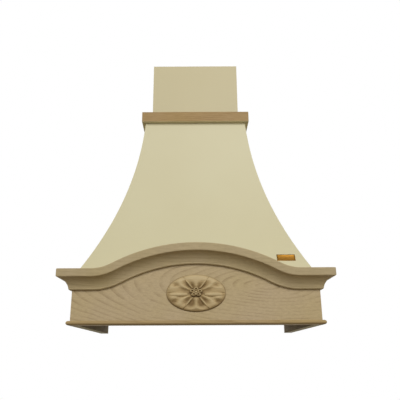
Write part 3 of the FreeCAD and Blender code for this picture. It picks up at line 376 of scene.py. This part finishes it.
def carved_leaf(name, rows, widths):
    """A leaf along X, set row by row: its reach, its half width along the arc there, and its levels."""
    steps, lines = len(rows) - 1, len(rows[0][1]) - 1
    leaf = begin(bpy.ops.mesh.primitive_grid_add, name, x_subdivisions=steps, y_subdivisions=lines, size=2)
    # Points that are set wait well away from those still to be picked.
    away = 10
    bpy.ops.object.mode_set(mode="EDIT")
    for index, ((reach, levels), width) in enumerate(zip(rows, widths)):
        for line, level in enumerate(levels):
            start = Vector((-1 + 2 * index / steps, -1 + 2 * line / lines, 0))
            turn = start.y * width / reach
            end = Vector((away + reach * math.cos(turn), reach * math.sin(turn), level))
            pick_points(leaf, lambda point: (point - start).length < 0.01)
            bpy.ops.transform.translate(value=end - start)
    bpy.ops.mesh.select_all(action="SELECT")
    bpy.ops.transform.translate(value=(-away, 0, 0))
    bpy.ops.mesh.normals_make_consistent(inside=False)
    bpy.ops.object.mode_set(mode="OBJECT")
    apply_modifier(leaf, "SOLIDIFY", thickness=leaf_thickness, offset=-1)
    apply_modifier(leaf, "SUBSURF", levels=2, render_levels=2)
    return leaf


quarter_turn, half_turn = math.pi / 2, math.pi
side_turn, end_turn = rib_turn / 2, quarter_turn - rib_turn
side_widths = arc_widths(SIDE_LEAF_ROWS, side_turn)
mirrored_rows = [(reach, levels[::-1]) for reach, levels in SIDE_LEAF_ROWS]
side_leaf = carved_leaf("rosette_side_leaf", SIDE_LEAF_ROWS, side_widths)
other_leaf = carved_leaf("rosette_other_leaf", mirrored_rows, side_widths)
top_leaf = carved_leaf("rosette_top_leaf", both_sides(TOP_LEAF_ROWS), arc_widths(TOP_LEAF_ROWS, end_turn))
low_leaf = carved_leaf("rosette_low_leaf", both_sides(LOW_LEAF_ROWS), arc_widths(LOW_LEAF_ROWS, end_turn))
reed = carved_leaf("rosette_reed", both_sides(REED_ROWS), reed_widths)
rib = carved_leaf("rosette_rib", both_sides(RIB_ROWS), rib_widths)
leaves = []
for pattern, drop, turns in ((side_leaf, 0, (side_turn, half_turn + side_turn)),
                             (other_leaf, 0, (-side_turn, half_turn - side_turn)),
                             (top_leaf, 0, (quarter_turn,)),
                             (low_leaf, 0, (-quarter_turn,)),
                             (reed, reed_drop, (0, half_turn)),
                             (rib, 0, (rib_turn, -rib_turn, half_turn + rib_turn, half_turn - rib_turn))):
    for turn in turns:
        leaf = copy_piece(pattern, "rosette_copy")
        leaf.rotation_euler.z = turn
        leaf.location.y = -drop
        leaves.append(leaf)
    bpy.data.objects.remove(pattern)

ground_rise, rim_round = 0.0024, 0.0018
ground = begin(bpy.ops.mesh.primitive_cylinder_add, "rosette_ground", vertices=96, radius=rosette_radius,
               depth=ground_rise, location=(0, 0, ground_rise / 2))
bpy.ops.object.mode_set(mode="EDIT")
pick_points(ground, lambda point: point.z > 0)
bpy.ops.mesh.bevel(offset=rim_round, segments=3, affect="EDGES")
bpy.ops.object.mode_set(mode="OBJECT")
settle(ground)


def swelling(name, centre, radii):
    return begin(bpy.ops.mesh.primitive_uv_sphere_add, name, segments=16, ring_count=10, radius=1,
                 location=centre, scale=radii)


lobe_count = 5
lobe_reach, lobe_level, lobe_radii = 0.0130, 0.0090, (0.0084, 0.0078, 0.0060)
cup_reach, cup_radius, cup_depth = 0.0135, 0.0040, 0.0085
button_level, button_radii = 0.0082, (0.0048, 0.0048, 0.0036)
flower_stretch, flower_lift = 1.15, 0.004
lobe = swelling("rosette_lobe", (lobe_reach, 0, lobe_level), lobe_radii)
settle(lobe)
bpy.ops.object.mode_set(mode="EDIT")
pick_points(lobe, lambda point: (point.x - cup_reach) ** 2 + point.y ** 2 < cup_radius ** 2
            and point.z > lobe_level)
bpy.ops.transform.translate(value=(0, 0, -cup_depth))
bpy.ops.object.mode_set(mode="OBJECT")
flower_parts = []
for index in range(lobe_count):
    twin = copy_piece(lobe, "rosette_lobe_copy")
    twin.rotation_euler.z = index * 2 * math.pi / lobe_count + quarter_turn
    flower_parts.append(twin)
bpy.data.objects.remove(lobe)
flower_parts.append(swelling("rosette_button", (0, 0, button_level), button_radii))
for piece in flower_parts:
    settle(piece)
flower = join_pieces(flower_parts, "rosette_flower")
flower.scale.y = flower_stretch
flower.location.y = flower_lift
for piece in leaves + [flower]:
    settle(piece)
rosette = join_pieces([ground, flower] + leaves, "carved_rosette")
rosette.scale = (1, oval_share, 1)
rosette.rotation_euler.x = quarter_turn
rosette.location = (rosette_centre.x, rosette_high.y, rosette_centre.z)
settle(rosette)
smooth(rosette, 40)

rosette_wood, rosette_shader, rosette_place = new_finish("carved_rosette_wood", Specular_IOR_Level=0.25)
hollow_depth, crest_depth = 0.003, 0.0125
rim_shade_drop = 0.011


def oval_reach(drop):
    """How far a place lies from the oval's middle, which is lowered by the drop; 1 is at the rim."""
    oval = add_node(rosette_wood, "Mapping", {"Vector": rosette_place,
                                              "Location": rosette_centre - Vector((0, 0, drop)),
                                              "Scale": (rosette_radius, 1, rosette_radius * oval_share)},
                    vector_type="TEXTURE").outputs["Vector"]
    return add_node(rosette_wood, "VectorMath", {0: oval}, operation="LENGTH").outputs["Value"]


# Painted shade: the wood is coloured darker the deeper the carving lies; near the rim it is lifted, more at
# the top than at the bottom.
depth_shade_share = share_past(rosette_wood, reach_along(rosette_wood, "Y"), rosette_high.y - hollow_depth,
                          hollow_depth - crest_depth)
rim_light_share = add_node(rosette_wood, "MapRange", {"Value": oval_reach(rim_shade_drop), "From Min": 0.9,
                                                "From Max": 0.99, "To Max": 0.45}).outputs["Result"]
depth_shade_share = add_node(rosette_wood, "Math", {0: depth_shade_share, 1: rim_light_share}, operation="ADD").outputs[0]
rosette_fibres = streaks(rosette_wood, rosette_place, (30, 260, 420), 3.0)
chisel_marks = noise(rosette_wood, rosette_place, 130.0, 3.0, 0.55)
rosette_colour = ramp(rosette_wood, depth_shade_share, [(0.0, tone(124, 101, 64)), (0.35, tone(168, 145, 103)),
                                                   (1.0, tone(189, 169, 128))])
# Painted shade: a thin dark line runs round the very edge of the oval.
for pattern, stops in ((rosette_fibres, [(0.3, grey(0.86)), (0.7, grey(1.06))]),
                       (oval_reach(0), [(0.955, grey(1.0)), (0.98, grey(0.72))])):
    rosette_colour = multiply(rosette_wood, rosette_colour, ramp(rosette_wood, pattern, stops))
feed(rosette_wood, rosette_shader, Base_Color=rosette_colour,
     Roughness=ramp(rosette_wood, rosette_fibres, [(0.3, grey(0.7)), (0.7, grey(0.55))]),
     Normal=bump(rosette_wood, chisel_marks, 0.0011, 0.8))
rosette.data.materials.clear()
rosette.data.materials.append(rosette_wood)
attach(rosette, "hood")
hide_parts("medallion")


# Canopy and chimney cover: folded sheet steel with a satin cream paint, sprayed and baked. The canopy is
# screwed to the boards; the chimney cover slides in the collar to suit the ceiling.

def sprayed_paint(name, colour, warm):
    paint, shader, place = new_finish(name, Specular_IOR_Level=0.35)
    clouds = noise(paint, place, 2.6, 3.0)
    peel = noise(paint, place, 420.0, 2.0)
    feed(paint, shader, Base_Color=ramp(paint, clouds, [(0.3, warm), (0.7, colour)]),
         Roughness=ramp(paint, peel, [(0.3, grey(0.48)), (0.7, grey(0.38))]),
         Normal=bump(paint, peel, 0.00012, 0.35))
    return paint


clothe(sprayed_paint("canopy_paint", tone(196, 189, 154), tone(193, 185, 149)), "canopy_shell")
clothe(sprayed_paint("chimney_paint", tone(184, 173, 135), tone(181, 170, 131)), "chimney_cover")


# Collar: three wooden rails round the canopy's neck, mitred in front and screwed up through the sheet.
# The wood is darker and redder than the skirt, and its underside is coloured pale cream as painted light.
rail_pale, rail_dark, rail_ring = tone(156, 131, 89), tone(136, 110, 70), 0.009
front_collar_wood = sanded_wood("front_collar_wood", rail_pale, rail_dark, "X", (0.1, -0.25, 0.1),
                                (0, 2, 5), rail_ring)
side_collar_wood = sanded_wood("side_collar_wood", rail_pale, rail_dark, "Y", (0.0, -0.2, 0.1),
                               (2, 0, 4), rail_ring)
rail_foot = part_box("front_collar")[0].z
# Painted light: the rails' undersides are coloured pale cream, paler on the front rail, to lift their
# shade.
for rail_wood, underside_painted_light in ((front_collar_wood, tone(204, 196, 162)),
                          (side_collar_wood, tone(184, 173, 136))):
    above_foot_share = share_past(rail_wood, reach_along(rail_wood, "Z"), rail_foot, 0.0006)
    recolour(rail_wood, add_node(rail_wood, "MixRGB", {"Fac": above_foot_share, "Color1": underside_painted_light,
                                                       "Color2": bare_colour(rail_wood)}).outputs["Color"])
clothe(front_collar_wood, "front_collar")
clothe(side_collar_wood, "left_collar", "right_collar")


# Blank plate: a small sheet of brass with a raised border, pressed and stuck at the lower right on the
# arc of the canopy's front. Its face is plain.
plate_width, plate_height, plate_thickness = 0.0635, 0.0265, 0.0012
border_width, panel_sink, edge_round = 0.0022, 0.0006, 0.00025
panel_taper = (0.985, 0.965, 1)
plate_across, plate_level = 0.3112, -0.3105
curve_radius, curve_depth, curve_level = 1.64, -1.9633, 0.3675
glue_gap = 0.00005
plate_slope = math.asin((curve_level - plate_level) / curve_radius)
plate_turn = math.radians(90) - plate_slope
plate_lift = curve_radius - plate_thickness / 2 + glue_gap
plate_place = (plate_across, curve_depth + plate_lift * math.cos(plate_slope),
               curve_level - plate_lift * math.sin(plate_slope))
plate = begin(bpy.ops.mesh.primitive_cube_add, "blank_plate", size=1)
plate.scale = (plate_width, plate_height, plate_thickness)
settle(plate)
bpy.ops.object.mode_set(mode="EDIT")
pick_points(plate, lambda point: point.z > 0)
bpy.ops.mesh.inset(thickness=border_width, depth=0)
bpy.ops.mesh.extrude_region_move(TRANSFORM_OT_translate={"value": (0, 0, -panel_sink)})
bpy.ops.transform.resize(value=panel_taper, center_override=(0, 0, 0))
bpy.ops.object.mode_set(mode="OBJECT")
apply_modifier(plate, "BEVEL", width=edge_round, segments=2, limit_method="ANGLE")
plate.rotation_euler.x = plate_turn
plate.location = plate_place
settle(plate)
smooth(plate, 40)
brass, brass_shader, brass_place = new_finish("plate_brass", Metallic=1.0)
brass_brush = streaks(brass, brass_place, (60, 900, 900), 3.0)
on_plate = add_node(brass, "Mapping", {"Vector": brass_place, "Location": plate_place,
                                       "Rotation": (plate_turn, 0, 0),
                                       "Scale": (plate_width / 2, plate_height / 2, 1)},
                    vector_type="TEXTURE").outputs["Vector"]
from_centre = add_node(brass, "VectorMath", {0: on_plate}, operation="ABSOLUTE").outputs[0]
reaches = add_node(brass, "SeparateXYZ", {"Vector": from_centre}).outputs
to_border = add_node(brass, "Math", {0: reaches["X"], 1: reaches["Y"]}, operation="MAXIMUM").outputs[0]
brass_colour = ramp(brass, brass_brush, [(0.3, tone(114, 79, 26)), (0.7, tone(139, 99, 40))])
border_shade = ramp(brass, to_border, [(0.82, grey(1.0)), (0.95, grey(0.5))])
feed(brass, brass_shader, Base_Color=multiply(brass, brass_colour, border_shade),
     Roughness=ramp(brass, brass_brush, [(0.3, grey(0.42)), (0.7, grey(0.3))]),
     Normal=bump(brass, brass_brush, 0.00005, 0.4))
plate.data.materials.append(brass)
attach(plate, "hood")


# Wall rail and chimney bar: flat steel, hot-dip galvanised, with punched holes for the wall screws.
# The blower box, its bracket, the hinge eyes and the outlet are of the same sheet.

def galvanised(name, dull, bright, size):
    zinc, shader, place = new_finish(name, Metallic=0.9)
    spangle = add_node(zinc, "TexVoronoi", {"Vector": place, "Scale": 1 / size, "Randomness": 1.0})
    shade = add_node(zinc, "SeparateColor", {"Color": spangle.outputs["Color"]}).outputs["Red"]
    dust = noise(zinc, place, 35.0, 4.0)
    colour = ramp(zinc, shade, [(0.0, dull), (1.0, bright)])
    feed(zinc, shader,
         Base_Color=multiply(zinc, colour, ramp(zinc, dust, [(0.3, grey(0.86)), (0.7, grey(1.0))])),
         Roughness=ramp(zinc, shade, [(0.0, grey(0.5)), (1.0, grey(0.32))]),
         Normal=bump(zinc, dust, 0.00015, 0.3))
    return zinc


clothe(galvanised("galvanised_steel", tone(168, 171, 174), tone(206, 208, 210), 0.012), "wall_rail",
       "chimney_bracket", "plenum_box", "motor_bracket", "filter_hinges", "outlet_spigot", "flap_pin")


# Tray and button panel: stainless sheet, brushed along its length, folded up at its edges and screwed
# to the side boards.

def brushed_metal(name, dark, light, stretch, rough):
    metal, shader, place = new_finish(name, Metallic=1.0)
    brush = streaks(metal, place, stretch, 4.0)
    feed(metal, shader, Base_Color=ramp(metal, brush, [(0.3, dark), (0.7, light)]),
         Roughness=ramp(metal, brush, [(0.3, grey(rough + 0.08)), (0.7, grey(rough - 0.06))]),
         Normal=bump(metal, brush, 0.00006, 0.35))
    return metal


clothe(brushed_metal("tray_stainless", tone(164, 164, 162), tone(190, 190, 188), (9, 620, 620), 0.36),
       "tray", "control_panel")


# Grease filters: aluminium frames with two crossed layers of expanded mesh, hung on two pins behind and
# held by a sliding latch in front.
clothe(brushed_metal("filter_aluminium", tone(186, 188, 190), tone(212, 213, 214), (420, 12, 420), 0.4),
       "left_filter_frame", "right_filter_frame")
mesh_metal = brushed_metal("mesh_aluminium", tone(122, 124, 127), tone(164, 166, 168), (160, 160, 160), 0.4)
wire_pitch, wire_thickness = 0.0078, 0.0019
layer_gap, frame_gap = 0.0012, 0.001
for side in ("left", "right"):
    low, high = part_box(f"{side}_filter_mesh")
    span = high - low
    wires = begin(bpy.ops.mesh.primitive_grid_add, f"{side}_wire_mesh", size=1,
                  x_subdivisions=math.ceil(span.x / wire_pitch),
                  y_subdivisions=math.ceil(span.y / wire_pitch))
    wires.scale = (span.x - frame_gap - wire_pitch / 2, span.y - frame_gap, 1)
    settle(wires)
    bpy.ops.object.mode_set(mode="EDIT")
    bpy.ops.mesh.select_all(action="SELECT")
    bpy.ops.mesh.poke()
    # Each square now has a cross in it; without the straight edges the crosses leave diamonds.
    shape = bmesh.from_edit_mesh(wires.data)
    for edge in shape.edges:
        run = edge.verts[1].co - edge.verts[0].co
        straight = abs(run.x) < 1e-5 or abs(run.y) < 1e-5
        edge.select = straight and len(edge.link_faces) == 2
    bmesh.update_edit_mesh(wires.data)
    bpy.ops.mesh.dissolve_edges(use_verts=False)
    bpy.ops.mesh.select_all(action="SELECT")
    bpy.ops.transform.translate(value=(-wire_pitch / 4, 0, -layer_gap / 2))
    bpy.ops.mesh.duplicate()
    bpy.ops.transform.translate(value=(wire_pitch / 2, 0, layer_gap))
    bpy.ops.object.mode_set(mode="OBJECT")
    apply_modifier(wires, "WIREFRAME", thickness=wire_thickness, use_boundary=True, use_even_offset=False)
    wires.location = (low + high) / 2
    settle(wires)
    smooth(wires, 30)
    wires.data.materials.append(mesh_metal)
    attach(wires, f"{side}_filter")
    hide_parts(f"{side}_filter_mesh")


# Latches, switch casing, blower casing, flaps and cord eye: moulded black plastic with a fine spark
# texture from the mould.

def moulded_plastic(name, colour, worn, grain, rough):
    plastic, shader, place = new_finish(name, Specular_IOR_Level=0.4)
    texture = noise(plastic, place, grain, 2.0)
    clouds = noise(plastic, place, 18.0, 2.0)
    feed(plastic, shader, Base_Color=ramp(plastic, clouds, [(0.3, colour), (0.75, worn)]),
         Roughness=ramp(plastic, texture, [(0.3, grey(rough + 0.1)), (0.7, grey(rough - 0.05))]),
         Normal=bump(plastic, texture, 0.00012, 0.4))
    return plastic


clothe(moulded_plastic("black_casing_plastic", tone(34, 34, 36), tone(46, 46, 48), 900.0, 0.55),
       "left_filter_latch", "right_filter_latch", "control_box", "switch_block", "left_scroll",
       "right_scroll", "mains_gland", "front_flap", "rear_flap")


# Push-buttons and capacitor: satin plastic in a warm white, each moulded in one piece. The buttons slide in
# the panel, and the capacitor is fixed to the blower box's back wall.
clothe(moulded_plastic("pale_button_plastic", tone(222, 219, 210), tone(230, 228, 220), 700.0, 0.4),
       "off_button", "low_button", "medium_button", "high_button", "light_button", "capacitor")


# Lamps: a turned and plated bezel, a frosted glass lens on its lip, and a cast lamp body behind it, set
# into a hole in the tray from below.
clothe(brushed_metal("bezel_plating", tone(196, 197, 199), tone(216, 217, 218), (90, 90, 900), 0.16),
       "left_lamp_bezel", "right_lamp_bezel")
frosted, frosted_shader, frosted_place = new_finish("frosted_glass", Transmission_Weight=0.85, IOR=1.48)
frost = noise(frosted, frosted_place, 700.0, 3.0)
feed(frosted, frosted_shader,
     Base_Color=ramp(frosted, frost, [(0.3, tone(232, 236, 236)), (0.7, tone(244, 246, 245))]),
     Roughness=ramp(frosted, frost, [(0.3, grey(0.42)), (0.7, grey(0.3))]),
     Normal=bump(frosted, frost, 0.0001, 0.4))
clothe(frosted, "left_lamp_lens", "right_lamp_lens")
clothe(brushed_metal("cast_lamp_metal", tone(168, 169, 171), tone(192, 193, 194), (240, 240, 240), 0.45),
       "left_lamp_module", "right_lamp_module")


# Blower: a wheel of rolled galvanised blades on the motor's bright shaft; the motor is in baked enamel.
# Its shaft, its bearings and the hood's screws are of the same bright steel.
clothe(galvanised("wheel_zinc", tone(150, 153, 156), tone(188, 190, 192), 0.006), "impeller")
clothe(brushed_metal("bright_steel", tone(190, 190, 190), tone(216, 216, 215), (500, 500, 60), 0.26),
       "motor_shaft", "motor_bearings", "canopy_screws", "collar_screws", "rail_screws", "plenum_screws",
       "tray_screws")
clothe(moulded_plastic("motor_enamel", tone(48, 50, 53), tone(58, 60, 63), 260.0, 0.38), "motor")


# Studio: a pale floor under the hood, a white surround and soft lamps in front, at both sides and behind.
# Floor and surround show white to the camera and in reflections, and light the hood only a little.

def seen_directly(owner):
    """1 for rays from the camera and for reflections and glass, else 0."""
    rays = add_node(owner, "LightPath", {}).outputs
    seen = rays["Is Camera Ray"]
    for kind in ("Is Glossy Ray", "Is Transmission Ray"):
        seen = add_node(owner, "Math", {0: seen, 1: rays[kind]}, operation="MAXIMUM").outputs[0]
    return seen


floor = begin(bpy.ops.mesh.primitive_plane_add, "studio_floor", size=24, location=(0, 0, -2.19))
floor_paint, floor_shader, floor_place = new_finish("floor_paint", Roughness=0.9, Specular_IOR_Level=0.0,
                                                    Emission_Color=grey(1.0))
floor_mottle = noise(floor_paint, floor_place, 0.8, 2.0)
feed(floor_paint, floor_shader,
     Base_Color=ramp(floor_paint, floor_mottle, [(0.3, (0.26, 0.21, 0.14, 1)),
                                                 (0.7, (0.28, 0.23, 0.16, 1))]),
     Emission_Strength=add_node(floor_paint, "Math", {0: seen_directly(floor_paint), 1: 0.86},
                                operation="MULTIPLY").outputs[0])
floor.data.materials.append(floor_paint)

world = bpy.data.worlds.new("studio_surround")
world.use_nodes = True
bpy.context.scene.world = world
surround = world.node_tree.nodes["Background"]
surround.inputs["Color"].default_value = grey(1.0)
feed(world, surround, Strength=add_node(world, "MapRange", {"Value": seen_directly(world), "To Min": 0.2,
                                                            "To Max": 1.0}).outputs["Result"])

lamp_aim = Vector((0, -0.3, -0.1))
for name, place, size, power in (("key_lamp", (0.5, -5.2, 2.4), 4.0, 278),
                                 ("left_fill_lamp", (-4.6, 0.1, 0.9), 2.6, 110),
                                 ("right_fill_lamp", (4.6, 0.1, 0.9), 2.6, 110),
                                 ("rear_fill_lamp", (0, 4.6, 1.6), 2.6, 100)):
    lamp = begin(bpy.ops.object.light_add, name, type="AREA", location=place)
    lamp.data.size = size
    lamp.data.energy = power
    lamp.rotation_euler = (lamp_aim - Vector(place)).to_track_quat("-Z", "Y").to_euler()


# Camera: a little below the hood's rim, tilted up and turned a quarter of a degree about its own axis.
bpy.ops.object.camera_add(location=(0, -1.9732, -0.6388), rotation=(math.radians(106.188), 0, 0))
camera = bpy.context.object
camera.name = "photo_camera"
camera.rotation_euler.rotate_axis("Z", math.radians(-0.25))
camera.data.lens = 40
camera.data.sensor_width = 36
camera.data.shift_x = 0.0105
camera.data.shift_y = 0.07
bpy.context.scene.camera = camera
bpy.context.scene.view_settings.view_transform = "Standard"
